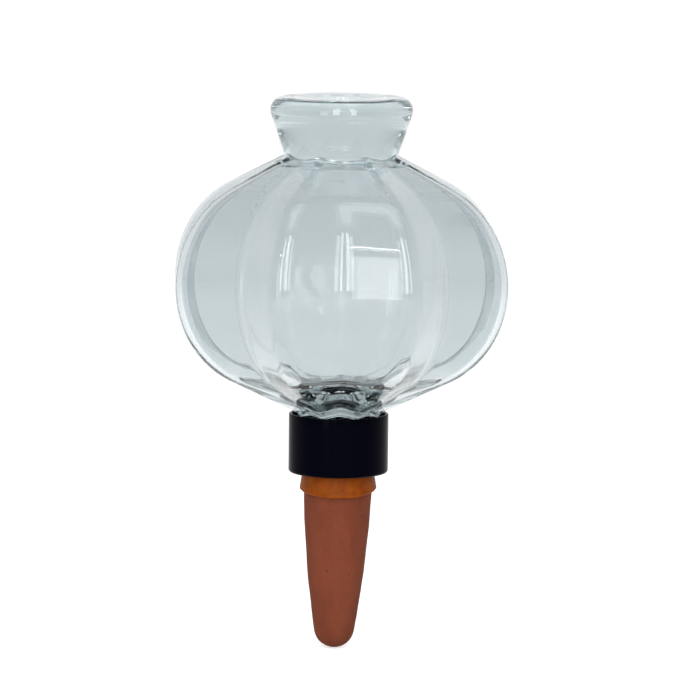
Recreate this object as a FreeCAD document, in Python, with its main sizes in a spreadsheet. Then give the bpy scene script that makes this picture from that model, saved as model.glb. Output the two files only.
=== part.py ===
"""Self watering spike: a lobed glass reservoir screwed into a cap that grips a porous clay spike.

The pieces are drawn from the spike's tip up, and then lowered together so that the origin lies on
the axis at the soil line, which is the underside of the cap. +Z is up.
"""
import FreeCAD, Part
import math
import os
import re

import Sketcher
from FreeCAD import Placement, Rotation, Vector

os.makedirs("parts", exist_ok=True)
doc = FreeCAD.newDocument("self_watering_spike")

# Driving dimensions, in millimetres and degrees
SIZES = [
    # Clay spike
    ("spike_reach", 53.5),             # tip to the underside of the cap
    ("shank_bow_radius", 330.0),       # slight outward bow of the shank's side
    ("shank_step", 0.3),               # the shank is this much wider than the neck
    ("tip_round_radius", 6.05),
    ("tip_side_slope", 9.0),           # slope of the side where the rounded tip runs into it
    ("shank_start_drop", 3.2),         # top of the shank below the cap
    ("shank_lean", 1.0),               # the hand formed shank leans by this angle
    ("spike_neck_radius", 10.0),
    ("spike_wall", 2.7),
    ("collar_width", 2.4),             # how far the collar stands off the neck
    ("collar_thick", 3.0),
    # Silicone sleeve
    ("sleeve_wall", 0.7),
    ("sleeve_flange_thick", 1.0),
    ("skirt_drop", 5.0),               # mean length of the skirt below the cap
    ("skirt_flare", 0.7),              # how far the skirt's edge stands off the shank
    ("skirt_wall", 0.9),
    ("skirt_tilt", 8.0),               # the edge sits lower at the front
    # Sealing washer
    ("washer_overlap", 1.0),           # how far it reaches in past the neck's bore
    ("washer_margin", 0.2),            # how far it reaches out past the neck
    ("washer_thick", 1.8),
    # Screw cap
    ("collar_clearance", 1.65),        # collar to the bore of the cap
    ("cap_tall", 17.8),
    ("cap_wall", 0.95),
    ("cap_floor", 1.6),
    ("cap_corner_round", 0.9),
    ("cap_rim_round", 0.35),
    ("hole_clearance", 0.1),           # running clearance of the sleeve in the cap's hole
    # Screw thread of the neck and the cap
    ("thread_pitch", 4.2),
    ("thread_depth", 1.2),
    ("thread_base_width", 2.2),
    ("thread_crest_width", 1.0),
    ("thread_sink", 0.3),              # how far a ridge is rooted in its wall
    ("neck_thread_turns", 1.5),
    ("cap_thread_turns", 1.25),
    ("neck_thread_rise", 1.6),         # sealing face to the middle of the first ridge
    ("thread_offset", 1.9),            # middle of the neck's ridge to the cap's ridge above it
    ("thread_clearance", 0.45),        # ridge crest to the opposite wall
    # Glass reservoir
    ("neck_wall", 2.8),
    ("neck_round", 0.8),
    ("neck_root", 2.0),                # how far the neck reaches up into the foot of the bulb
    ("shoulder_gap", 0.25),            # top of the cap to the foot of the bulb
    ("foot_margin", 0.5),              # ridges at the foot stand out past the neck
    ("ridge_radius", 54.3),            # to the sharp meeting of two facets, before their rounding
    ("valley_share", 0.813),           # valley radius over ridge radius
    ("ridge_round_share", 0.083),      # rounding of a ridge over the ridge radius
    ("lobe_turn", 2.0),                # the front valley stands this far round from the front
    ("meridian_radius", 32.0),
    ("shoulder_angle", 64.0),          # slope at which the round side turns into the upper cone
    ("foot_angle", 65.0),              # slope at which it turns into the lower cone
    ("glass_wall", 1.8),
    ("foot_gather", 1.0),              # the cavity is rounder below, where the glass gathers
    ("cavity_foot_angle", 74.0),       # the cavity's foot lies flatter, so the glass is thick there
    ("cavity_foot_margin", 0.9),       # ridges at the cavity's foot stand out past the bore
    ("ceiling_margin", 0.8),           # ridges at the cavity's ceiling stay inside the crown's root
    # Solid crown
    ("crown_neck_radius", 16.8),
    ("crown_sink", 1.0),               # the shoulder's top ridges stay inside the crown
    ("crown_waist_drop", 1.6),         # shoulder's top to where the crown begins to flare
    ("crown_tall", 16.5),              # shoulder's top to the bearing ring
    ("crown_flare", 6.1),
    ("crown_lip_round", 4.0),
    ("dish_rim_width", 7.0),
    ("dish_lip_round", 1.2),
    ("dish_drop", 1.2),
    ("dimple_radius", 7.6),
    ("dimple_draft", 1.0),
    ("dimple_drop", 0.8),
    ("dimple_round", 0.3),
    # One overrun for every cut
    ("overrun", 1.0),
]
LOBES = 8
ARC_STATIONS = 16

sheet = doc.addObject("Spreadsheet::Sheet", "sizes")
for row, (alias, value) in enumerate(SIZES, start=1):
    sheet.set(f"A{row}", alias)
    sheet.set(f"B{row}", str(value))
    sheet.setAlias(f"B{row}", alias)
doc.recompute()


ALIASES = {alias for alias, value in SIZES}


def formula(words):
    """An expression in the names of the sizes, written so that it reads the sheet."""
    return re.sub("[a-z_]+", lambda found: ("sizes." if found[0] in ALIASES else "") + found[0], words)


def number(words):
    """The present value of such an expression; an empty one is zero."""
    return float(sheet.evalExpression(formula(words))) if words else 0


def bind(obj, prop, words):
    """Ties a property of an object to a sum of sizes."""
    obj.setExpression(prop, formula(words))


def arc_between(start, end, radius, bulge):
    """Arc from start to end that bulges to its right (+1) or left (-1), counted counterclockwise."""
    chord = end - start
    middle = (start + end) * 0.5
    offset = math.sqrt(radius ** 2 - (chord.Length / 2) ** 2)
    side = Vector(-chord.y, chord.x, 0).normalize() * (bulge * offset)
    centre = middle + side
    angles = [math.atan2(point.y - centre.y, point.x - centre.x) for point in (start, end)]
    if bulge < 0:
        angles.reverse()
    circle = Part.Circle(centre, Vector(0, 0, 1), radius)
    return Part.ArcOfCircle(circle, angles[0], angles[1])


def draw_outline(sketch, points, arcs=None):
    """Draws a closed outline whose corners and arc radii are bound to the sheet.

    points holds the across and up place of each corner as sums of sizes, "" for zero. arcs maps a
    segment's index to the name of its radius and the side that it bulges to.
    """
    arcs = arcs or {}
    corners = [Vector(number(across), number(up), 0) for across, up in points]
    count = len(corners)
    starts = []
    ends = []
    for index, start in enumerate(corners):
        end = corners[(index + 1) % count]
        if index in arcs:
            radius, bulge = arcs[index]
            sketch.addGeometry(arc_between(start, end, number(radius), bulge), False)
            starts.append(1 if bulge > 0 else 2)
            ends.append(2 if bulge > 0 else 1)
            held = sketch.addConstraint(Sketcher.Constraint("Radius", index, number(radius)))
            bind(sketch, f"Constraints[{held}]", radius)
        else:
            sketch.addGeometry(Part.LineSegment(start, end), False)
            starts.append(1)
            ends.append(2)
    for index in range(count):
        after = (index + 1) % count
        sketch.addConstraint(Sketcher.Constraint("Coincident", index, ends[index], after, starts[after]))
    for index, (across, up) in enumerate(points):
        for kind, words, axis in (("DistanceX", across, -2), ("DistanceY", up, -1)):
            if words:
                held = sketch.addConstraint(
                    Sketcher.Constraint(kind, -1, 1, index, starts[index], number(words)))
                bind(sketch, f"Constraints[{held}]", words)
            else:
                sketch.addConstraint(Sketcher.Constraint("PointOnObject", index, starts[index], axis))


def origin_plane(body, role):
    """The body's own origin plane with this role."""
    return [item for item in body.Origin.OriginFeatures if item.Role == role][0]


def revolved_body(name, points, arcs=None):
    """A body turned about its Z axis from an outline in the XZ plane."""
    body = doc.addObject("PartDesign::Body", name)
    sketch = body.newObject("Sketcher::SketchObject", f"{name}_outline")
    sketch.AttachmentSupport = [(origin_plane(body, "XZ_Plane"), "")]
    sketch.MapMode = "FlatFace"
    draw_outline(sketch, points, arcs)
    turned = body.newObject("PartDesign::Revolution", f"{name}_turned")
    turned.Profile = sketch
    turned.ReferenceAxis = (sketch, ["V_Axis"])
    turned.Angle = 360
    doc.recompute()
    return body


def circle_edges(shape, places):
    """Names of the circular edges at these radii and heights, given as (radius, height) pairs."""
    names = []
    for index, edge in enumerate(shape.Edges, start=1):
        if not isinstance(edge.Curve, Part.Circle):
            continue
        for radius, height in places:
            near_radius = math.isclose(edge.Curve.Radius, radius, abs_tol=1e-4)
            near_height = math.isclose(edge.Curve.Center.z, height, abs_tol=1e-4)
            if near_radius and near_height:
                names.append(f"Edge{index}")
    return names


def round_circles(body, name, places, size):
    """Rounds circular edges of a body."""
    sharp = body.Tip
    rounding = body.newObject("PartDesign::Fillet", name)
    rounding.Base = (sharp, circle_edges(sharp.Shape, places))
    bind(rounding, "Radius", size)
    body.Tip = rounding
    doc.recompute()


def thread_ridge(name, root_radius, crest_radius, start, turns):
    """A helical ridge with a sloped profile, from its root radius to its crest radius."""
    spine = doc.addObject("Part::Helix", f"{name}_spine")
    bind(spine, "Pitch", "thread_pitch")
    spine.setExpression("Height", f"sizes.thread_pitch * sizes.{turns}")
    bind(spine, "Radius", root_radius)
    bind(spine, "Placement.Base.z", start)
    section = doc.addObject("Sketcher::SketchObject", f"{name}_section")
    section.Placement = Placement(Vector(), Rotation(Vector(1, 0, 0), 90))
    base_half = number("thread_base_width") / 2
    crest_half = number("thread_crest_width") / 2
    corners = [
        (root_radius, start, -base_half, "- sizes.thread_base_width / 2"),
        (crest_radius, start, -crest_half, "- sizes.thread_crest_width / 2"),
        (crest_radius, start, crest_half, "+ sizes.thread_crest_width / 2"),
        (root_radius, start, base_half, "+ sizes.thread_base_width / 2"),
    ]
    places = [Vector(number(across), number(up) + shift, 0) for across, up, shift, words in corners]
    for index, place in enumerate(places):
        section.addGeometry(Part.LineSegment(place, places[(index + 1) % len(places)]), False)
    for index in range(len(places)):
        after = (index + 1) % len(places)
        section.addConstraint(Sketcher.Constraint("Coincident", index, 2, after, 1))
    for index, (across, up, shift, words) in enumerate(corners):
        held = section.addConstraint(
            Sketcher.Constraint("DistanceX", -1, 1, index, 1, number(across)))
        bind(section, f"Constraints[{held}]", across)
        held = section.addConstraint(
            Sketcher.Constraint("DistanceY", -1, 1, index, 1, number(up) + shift))
        section.setExpression(f"Constraints[{held}]", f"{formula(up)} {words}")
    doc.recompute()
    ridge = doc.addObject("Part::Sweep", name)
    ridge.Sections = [section]
    ridge.Spine = (spine, ["Edge1"])
    ridge.Solid = True
    ridge.Frenet = True
    doc.recompute()
    return ridge


def cone_reach(rim, side, angle, end_radius):
    """Equator to the level where the cone that follows the round side has narrowed to a radius."""
    turn_radius = f"{rim} - ({side}) + ({side}) * cos({angle})"
    return f"(({side}) * sin({angle}) + ({turn_radius} - ({end_radius})) / tan({angle}))"


# Radii that several pieces share
COLLAR_RADIUS = "spike_neck_radius + collar_width"
CAP_BORE = f"{COLLAR_RADIUS} + collar_clearance"
CAP_RADIUS = f"{CAP_BORE} + cap_wall"
SLEEVE_OUTER = "spike_neck_radius + sleeve_wall"
NECK_RADIUS = f"{CAP_BORE} - thread_clearance - thread_depth"
NECK_BORE = f"{NECK_RADIUS} - neck_wall"
CEILING_RADIUS = "crown_neck_radius - ceiling_margin"

# Rims and round sides of the bulb and its cavity, and their reaches from the equator
RIM = "ridge_radius"
SIDE = "meridian_radius"
CAVITY_RIM = "ridge_radius - glass_wall"
CAVITY_SIDE = "meridian_radius - glass_wall"
CAVITY_LOW_SIDE = f"{CAVITY_SIDE} - foot_gather"
CAVITY_FOOT = f"{NECK_BORE} + cavity_foot_margin"
LOWER_REACH = cone_reach(RIM, SIDE, "foot_angle", f"{NECK_RADIUS} + foot_margin")
UPPER_REACH = cone_reach(RIM, SIDE, "shoulder_angle", "crown_neck_radius - crown_sink")
CAVITY_LOWER_REACH = cone_reach(CAVITY_RIM, CAVITY_LOW_SIDE, "cavity_foot_angle", CAVITY_FOOT)
CAVITY_UPPER_REACH = cone_reach(CAVITY_RIM, CAVITY_SIDE, "shoulder_angle", CEILING_RADIUS)

# Heights that several pieces share
FLOOR_TOP = "spike_reach + cap_floor"
COLLAR_BASE = f"{FLOOR_TOP} + sleeve_flange_thick"
COLLAR_TOP = f"{COLLAR_BASE} + collar_thick"
WASHER_TOP = f"{COLLAR_TOP} + washer_thick"
CAP_TOP = "spike_reach + cap_tall"
SHANK_TOP = "spike_reach - shank_start_drop"
BULB_FOOT = f"{CAP_TOP} + shoulder_gap"
EQUATOR = f"{BULB_FOOT} + {LOWER_REACH}"
SHOULDER_TOP = f"{EQUATOR} + {UPPER_REACH}"
CEILING = f"{EQUATOR} + {CAVITY_UPPER_REACH}"


def make_spike():
    """Porous clay spike: upright head with a collar, leaning hollow shank with a rounded tip."""
    head = revolved_body("spike_head", [
        ("", SHANK_TOP),
        ("spike_neck_radius", SHANK_TOP),
        ("spike_neck_radius", COLLAR_BASE),
        (COLLAR_RADIUS, COLLAR_BASE),
        (COLLAR_RADIUS, COLLAR_TOP),
        ("", COLLAR_TOP),
    ])
    tip_side = "tip_round_radius * cos(tip_side_slope)"
    tip_level = "tip_round_radius - tip_round_radius * sin(tip_side_slope)"
    shank = revolved_body("spike_shank", [
        ("", ""),
        (tip_side, tip_level),
        ("spike_neck_radius + shank_step", SHANK_TOP),
        ("", SHANK_TOP),
    ], {0: ("tip_round_radius", 1), 1: ("shank_bow_radius", 1)})
    bore = "spike_neck_radius + shank_step - spike_wall"
    bore_tip = "tip_round_radius - spike_wall"
    hollow = revolved_body("spike_hollow", [
        ("", "spike_wall"),
        (f"({bore_tip}) * cos(tip_side_slope)", f"tip_round_radius - ({bore_tip}) * sin(tip_side_slope)"),
        (bore, SHANK_TOP),
        (bore, f"{COLLAR_TOP} + overrun"),
        ("", f"{COLLAR_TOP} + overrun"),
    ], {0: (bore_tip, 1)})
    lean = Rotation(Vector(0, 1, 0), number("shank_lean"))
    pivot = Vector(0, 0, number(SHANK_TOP))
    shank.Placement = Placement(Vector(), lean, pivot)
    hollow.Placement = Placement(Vector(), lean, pivot)
    blank = doc.addObject("Part::MultiFuse", "spike_blank")
    blank.Shapes = [head, shank]
    spike = doc.addObject("Part::Cut", "terracotta_spike")
    spike.Base = blank
    spike.Tool = hollow
    return spike


def make_sleeve():
    """Silicone sleeve: flange on the cap's floor, tube in the hole, flared skirt with a tilted edge."""
    flared_inner = "spike_neck_radius + skirt_flare"
    skirt_base = "spike_reach - skirt_drop - skirt_drop"
    blank = revolved_body("sleeve_blank", [
        ("spike_neck_radius", "spike_reach"),
        (f"{flared_inner} + skirt_flare", skirt_base),
        (f"{flared_inner} + skirt_flare + skirt_wall", skirt_base),
        (SLEEVE_OUTER, "spike_reach"),
        (SLEEVE_OUTER, FLOOR_TOP),
        (COLLAR_RADIUS, FLOOR_TOP),
        (COLLAR_RADIUS, COLLAR_BASE),
        ("spike_neck_radius", COLLAR_BASE),
    ])
    waste = doc.addObject("Part::Box", "skirt_waste")
    for side in ("Length", "Width"):
        bind(waste, side, f"4 * ({CAP_RADIUS})")
    bind(waste, "Height", "skirt_drop + skirt_drop")
    half = 2 * number(CAP_RADIUS)
    tilt = Rotation(Vector(1, 0, 0), number("skirt_tilt"))
    corner = Vector(-half, -half, -2 * number("skirt_drop"))
    centre = Vector(0, 0, number("spike_reach - skirt_drop"))
    waste.Placement = Placement(centre + tilt.multVec(corner), tilt)
    sleeve = doc.addObject("Part::Cut", "silicone_sleeve")
    sleeve.Base = blank
    sleeve.Tool = waste
    return sleeve


def make_washer():
    """Flat rubber washer between the clay collar and the glass rim."""
    washer = revolved_body("sealing_washer", [
        (f"{NECK_BORE} - washer_overlap", COLLAR_TOP),
        (f"{NECK_RADIUS} + washer_margin", COLLAR_TOP),
        (f"{NECK_RADIUS} + washer_margin", WASHER_TOP),
        (f"{NECK_BORE} - washer_overlap", WASHER_TOP),
    ])
    return washer


def make_cap():
    """Smooth black screw cap with a holed floor and an internal thread."""
    hole = f"{SLEEVE_OUTER} + hole_clearance"
    shell = revolved_body("cap_shell", [
        (hole, "spike_reach"),
        (CAP_RADIUS, "spike_reach"),
        (CAP_RADIUS, CAP_TOP),
        (CAP_BORE, CAP_TOP),
        (CAP_BORE, FLOOR_TOP),
        (hole, FLOOR_TOP),
    ])
    outer = number(CAP_RADIUS)
    round_circles(shell, "cap_corner", [(outer, number("spike_reach"))], "cap_corner_round")
    rim = [(outer, number(CAP_TOP)), (number(CAP_BORE), number(CAP_TOP))]
    round_circles(shell, "cap_rim", rim, "cap_rim_round")
    ridge = thread_ridge(
        "cap_thread",
        f"{CAP_BORE} + thread_sink",
        f"{NECK_RADIUS} + thread_clearance",
        f"{WASHER_TOP} + neck_thread_rise + thread_offset",
        "cap_thread_turns")
    cap = doc.addObject("Part::Fuse", "screw_cap")
    cap.Base = shell
    cap.Tool = ridge
    return cap


def lobed_wire(ridge, height):
    """A ring of facets that meet in sharp valleys and rounded ridges; one valley is at the front."""
    valley = ridge * number("valley_share")
    rounding = ridge * number("ridge_round_share")
    half = math.pi / LOBES
    turned = math.radians(number("lobe_turn"))
    level = Vector(0, 0, height)

    def spot(radius, turn):
        return Vector(radius * math.cos(turn), radius * math.sin(turn), 0)

    edges = []
    for lobe in range(LOBES):
        middle = (2 * lobe + 1) * half + turned
        crest = spot(ridge, middle)
        inward = crest.normalize() * -1
        crest = spot(ridge, middle)
        before = spot(valley, middle - half)
        after = spot(valley, middle + half)
        corner = (before - crest).getAngle(inward)
        tangents = [
            crest + (side - crest).normalize() * (rounding / math.tan(corner)) for side in (before, after)
        ]
        top = crest + inward * (rounding / math.sin(corner) - rounding)
        edges.append(Part.LineSegment(before + level, tangents[0] + level).toShape())
        edges.append(Part.Arc(tangents[0] + level, top + level, tangents[1] + level).toShape())
        edges.append(Part.LineSegment(tangents[1] + level, after + level).toShape())
    return Part.Wire(edges)


def lobed_solid(rim_words, sides, slopes, reaches):
    """The lobed form between two levels under and over the equator.

    rim_words is its ridge radius at the equator. sides, slopes and reaches hold what it has below
    and above: the radius of its round side, the slope that this ends with, and the whole reach.
    """
    rim = number(rim_words)
    low_side, high_side = [number(words) for words in sides]
    foot, shoulder = [math.radians(number(words)) for words in slopes]
    lower_reach, upper_reach = [number(words) for words in reaches]
    equator = number(EQUATOR)

    def ring(angle):
        side = high_side if angle > 0 else low_side
        radius = rim - side + side * math.cos(angle)
        return lobed_wire(radius, equator + side * math.sin(angle))

    def cone_end(side, angle, reach):
        run = reach - side * math.sin(angle)
        return rim - side + side * math.cos(angle) - run * math.tan(angle)

    angles = [(foot + shoulder) * step / ARC_STATIONS - foot for step in range(ARC_STATIONS + 1)]
    rings = [ring(angle) for angle in angles]
    top = lobed_wire(cone_end(high_side, shoulder, upper_reach), equator + upper_reach)
    bottom = lobed_wire(cone_end(low_side, foot, lower_reach), equator - lower_reach)
    middle = Part.makeLoft(rings, True, False)
    upper = Part.makeLoft([rings[-1], top], True, True)
    lower = Part.makeLoft([bottom, rings[0]], True, True)
    return middle.fuse([upper, lower]).removeSplitter()


def shaped(name, shape):
    """A document object that holds a shape made by the functions above."""
    feature = doc.addObject("Part::Feature", name)
    feature.Shape = shape
    return feature


def make_crown():
    """Solid flared crown with a rounded lip, a dished top and a dimple in its middle."""
    top = f"{SHOULDER_TOP} + crown_tall"
    dish = f"{top} - dish_drop"
    dimple = f"{dish} - dimple_drop"
    corner = "crown_neck_radius + crown_flare"
    dish_edge = f"{corner} - dish_rim_width"
    crown = revolved_body("crown", [
        ("", f"{CEILING} - overrun"),
        ("crown_neck_radius", f"{CEILING} - overrun"),
        ("crown_neck_radius", f"{SHOULDER_TOP} - crown_waist_drop"),
        (corner, top),
        (dish_edge, top),
        ("dimple_radius", dish),
        ("dimple_radius - dimple_draft", dimple),
        ("", dimple),
    ])
    round_circles(crown, "crown_lip", [(number(corner), number(top))], "crown_lip_round")
    round_circles(crown, "dish_lip", [(number(dish_edge), number(top))], "dish_lip_round")
    edges = [
        (number("dimple_radius"), number(dish)),
        (number("dimple_radius - dimple_draft"), number(dimple)),
    ]
    round_circles(crown, "dimple_edge", edges, "dimple_round")
    return crown


def make_bulb():
    """Glass reservoir: lobed bulb, solid crown over it and a threaded neck under it."""
    outer = shaped("lobed_outside", lobed_solid(
        RIM,
        (SIDE, SIDE),
        ("foot_angle", "shoulder_angle"),
        (LOWER_REACH, UPPER_REACH)))
    inner = shaped("lobed_cavity", lobed_solid(
        CAVITY_RIM,
        (CAVITY_LOW_SIDE, CAVITY_SIDE),
        ("cavity_foot_angle", "shoulder_angle"),
        (CAVITY_LOWER_REACH, CAVITY_UPPER_REACH)))
    crown = make_crown()
    neck = revolved_body("neck", [
        ("", WASHER_TOP),
        (NECK_RADIUS, WASHER_TOP),
        (NECK_RADIUS, f"{BULB_FOOT} + neck_root"),
        ("", f"{BULB_FOOT} + neck_root"),
    ])
    rim = [(number(NECK_RADIUS), number(WASHER_TOP))]
    round_circles(neck, "neck_rim", rim, "neck_round")
    ridge = thread_ridge(
        "neck_thread",
        f"{NECK_RADIUS} - thread_sink",
        f"{NECK_RADIUS} + thread_depth",
        f"{WASHER_TOP} + neck_thread_rise",
        "neck_thread_turns")
    bore = doc.addObject("Part::Cylinder", "neck_bore")
    bind(bore, "Radius", NECK_BORE)
    bind(bore, "Height", f"{EQUATOR} - spike_reach")
    bind(bore, "Placement.Base.z", "spike_reach")
    blank = doc.addObject("Part::MultiFuse", "glass_blank")
    blank.Shapes = [outer, crown, neck, ridge]
    hollow = doc.addObject("Part::MultiFuse", "glass_hollow")
    hollow.Shapes = [inner, bore]
    bulb = doc.addObject("Part::Cut", "glass_bulb")
    bulb.Base = blank
    bulb.Tool = hollow
    return bulb


def lower_to_soil_line(pieces):
    """Moves the drawn pieces down so that the soil line is at zero."""
    for piece in pieces:
        piece.setExpression("Placement.Base.z", "-sizes.spike_reach")


def check_and_export(pieces):
    """Stops on any failed object or bad shape, then writes each piece to its STEP file."""
    doc.recompute()
    for item in doc.Objects:
        if "Invalid" in item.State or "Error" in item.State:
            raise RuntimeError(f"{item.Name} failed: {item.State}")
    for piece in pieces:
        if piece.Shape.isNull() or not piece.Shape.isValid():
            raise RuntimeError(f"{piece.Label} has a bad shape")
        if len(piece.Shape.Solids) != 1:
            raise RuntimeError(f"{piece.Label} has {len(piece.Shape.Solids)} solids")
    for piece in pieces:
        piece.Shape.exportStep(f"parts/{piece.Label}.step")
        box = piece.Shape.BoundBox
        print(f"{piece.Label}: z {box.ZMin:.2f} to {box.ZMax:.2f} mm, {piece.Shape.Volume:.0f} mm3")


unit = [make_spike(), make_sleeve(), make_washer(), make_cap(), make_bulb()]
lower_to_soil_line(unit)
check_and_export(unit)
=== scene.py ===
"""Looks of a self watering spike: a lobed glass reservoir, a black cap, a silicone sleeve and a clay spike.

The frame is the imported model. The origin is on the axis at the underside of the cap, +Z is up and
-Y faces the camera. Lengths are in millimetres and angles in degrees, unless a name or a docstring
says otherwise. Meshes are made in metres.
"""

import logging
import math
from collections.abc import Callable, Sequence
from dataclasses import dataclass
from enum import Enum
from functools import cached_property

import bmesh
import bpy
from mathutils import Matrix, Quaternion, Vector, noise


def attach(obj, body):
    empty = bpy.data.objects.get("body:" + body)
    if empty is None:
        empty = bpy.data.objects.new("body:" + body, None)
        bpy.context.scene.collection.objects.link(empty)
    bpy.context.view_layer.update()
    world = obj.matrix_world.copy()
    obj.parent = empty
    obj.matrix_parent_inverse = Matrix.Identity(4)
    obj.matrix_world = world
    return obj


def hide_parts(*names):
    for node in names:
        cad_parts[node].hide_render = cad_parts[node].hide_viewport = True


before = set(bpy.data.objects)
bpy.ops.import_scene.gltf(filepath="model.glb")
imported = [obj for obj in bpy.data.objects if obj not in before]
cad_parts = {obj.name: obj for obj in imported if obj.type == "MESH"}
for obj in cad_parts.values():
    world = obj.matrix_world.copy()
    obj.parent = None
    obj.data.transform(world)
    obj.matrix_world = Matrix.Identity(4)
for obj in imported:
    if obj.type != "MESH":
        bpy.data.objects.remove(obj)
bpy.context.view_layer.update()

LOG = logging.getLogger("watering_spike")
MM = 0.001
TINY = 1e-6
WELD_DISTANCE = 1e-5
FINER_NOISE_SHARE = 0.55

Point = tuple[float, float]
Outline = list[Point]
Place = tuple[float, float, float]
Reshape = Callable[[Vector, int], Vector]


class Body(Enum):
    """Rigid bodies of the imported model."""

    SPIKE_UNIT = "spike_unit"
    BULB = "bulb"
    CAP = "cap"


class Slot(Enum):
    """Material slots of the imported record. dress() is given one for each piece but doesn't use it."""

    CLAY = "terracotta"
    SILICONE = "orange_silicone"
    CAP = "black_plastic"
    GLASS = "clear_glass"


# Helpers for materials


def linear(colour: str) -> tuple[float, float, float, float]:
    """Turns an sRGB hex colour into linear light.

    Args:
        colour: Six hex digits, as in "834732".

    Returns:
        Linear red, green and blue, and an alpha of one.
    """
    shares = [int(colour[index:index + 2], 16) / 255 for index in (0, 2, 4)]
    red, green, blue = [
        share / 12.92 if share <= 0.04045 else ((share + 0.055) / 1.055) ** 2.4 for share in shares
    ]
    return (red, green, blue, 1.0)


def add_node(
    tree: bpy.types.NodeTree,
    kind: str,
    settings: dict[str, object] | None = None,
    values: dict[int | str, object] | None = None,
    links: dict[int | str, bpy.types.NodeSocket] | None = None,
    feeds: dict[int | str, bpy.types.NodeSocket] | None = None,
    stops: Sequence[tuple[float, str]] = (),
) -> bpy.types.Node:
    """Adds a node with its settings, socket values, links and colour stops.

    Args:
        tree: The node tree that gets the node.
        kind: The node's type name.
        settings: Properties of the node itself.
        values: Default values of its input sockets, by index or name.
        links: Output sockets that feed its input sockets, by index or name.
        feeds: Input sockets that its output sockets feed, by index or name.
        stops: Position and hex colour of each stop of a colour ramp, in order.

    Returns:
        The new node.
    """
    node = tree.nodes.new(kind)
    for name, value in (settings or {}).items():
        setattr(node, name, value)
    for key, value in (values or {}).items():
        node.inputs[key].default_value = value
    for key, socket in (links or {}).items():
        tree.links.new(socket, node.inputs[key])
    for key, socket in (feeds or {}).items():
        tree.links.new(node.outputs[key], socket)
    for index, (position, colour) in enumerate(stops):
        elements = node.color_ramp.elements
        element = elements[index] if index < len(elements) else elements.new(position)
        element.position = position
        element.color = linear(colour)
    return node


def new_material(
    name: str, values: dict[str, object]
) -> tuple[bpy.types.Material, bpy.types.NodeTree, bpy.types.Node]:
    """Makes a material with only its output and a Principled shader.

    Args:
        name: The material's name.
        values: Constant values of the shader's sockets, by name.

    Returns:
        The material, its node tree and the shader node.
    """
    material = bpy.data.materials.new(name)
    material.use_nodes = True
    tree = material.node_tree
    tree.nodes.clear()
    shader = add_node(tree, "ShaderNodeBsdfPrincipled", values=values)
    add_node(tree, "ShaderNodeOutputMaterial", links={"Surface": shader.outputs[0]})
    return material, tree, shader


def noise_pattern(
    tree: bpy.types.NodeTree, size_mm: float, layers: float, squeeze: Place = (1, 1, 1)
) -> bpy.types.Node:
    """Adds noise on Object coordinates whose blobs have a real size.

    Args:
        tree: The node tree.
        size_mm: The size of the largest blobs in millimetres.
        layers: How many finer layers are added.
        squeeze: Scale of the coordinates along each axis. Under one makes the blobs longer.

    Returns:
        The noise node.
    """
    place = add_node(tree, "ShaderNodeTexCoord")
    squeezed = add_node(
        tree, "ShaderNodeMapping", values={"Scale": squeeze}, links={"Vector": place.outputs["Object"]})
    return add_node(
        tree, "ShaderNodeTexNoise",
        values={"Scale": 1 / (size_mm * MM), "Detail": layers, "Roughness": FINER_NOISE_SHARE},
        links={"Vector": squeezed.outputs["Vector"]})


# Finishes


@dataclass(frozen=True)
class PressedGlass:
    """Clear soda lime glass, blown into a lobed mould and fire polished.

    The grey-blue tint is partly the glass's own faint cast and partly painted shade: it greys all the glass
    to stand in for the dimmer surroundings seen through it, and the absorption deepens that grey where the
    glass is thick. The mould leaves shallow waves that break up the lamps' reflections.
    """

    name: str = "soda_lime_glass"
    # The glass's faint cast plus painted shade: a grey for the dimmer surroundings seen through it.
    cast_and_painted_shade: str = "D9DFE1"
    ior: float = 1.51
    # The glass's own absorption, made stronger so that it paints shade into thick glass.
    depth_cast_and_painted_shade: str = "9CB8BC"
    depth_per_m: float = 13.0
    wave_size_mm: float = 20.0
    wave_height_mm: float = 0.2
    wave_squeeze: Place = (0.7, 0.7, 1.6)

    def make(self) -> bpy.types.Material:
        """Makes the material."""
        material, tree, shader = new_material(self.name, {
            # The base colour is partly the glass's cast and partly painted shade.
            "Base Color": linear(self.cast_and_painted_shade),
            "Roughness": 0.0,
            "IOR": self.ior,
            "Transmission Weight": 1.0,
        })
        waves = noise_pattern(tree, self.wave_size_mm, 1.0, self.wave_squeeze)
        add_node(
            tree, "ShaderNodeBump",
            values={"Strength": 1.0, "Distance": self.wave_height_mm * MM},
            links={"Height": waves.outputs["Fac"]}, feeds={"Normal": shader.inputs["Normal"]})
        output = next(node for node in tree.nodes if node.type == "OUTPUT_MATERIAL")
        # The absorption is partly real and partly painted shade where the glass is thick.
        add_node(
            tree, "ShaderNodeVolumeAbsorption",
            values={"Color": linear(self.depth_cast_and_painted_shade), "Density": self.depth_per_m},
            feeds={"Volume": output.inputs["Volume"]})
        return material


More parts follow.
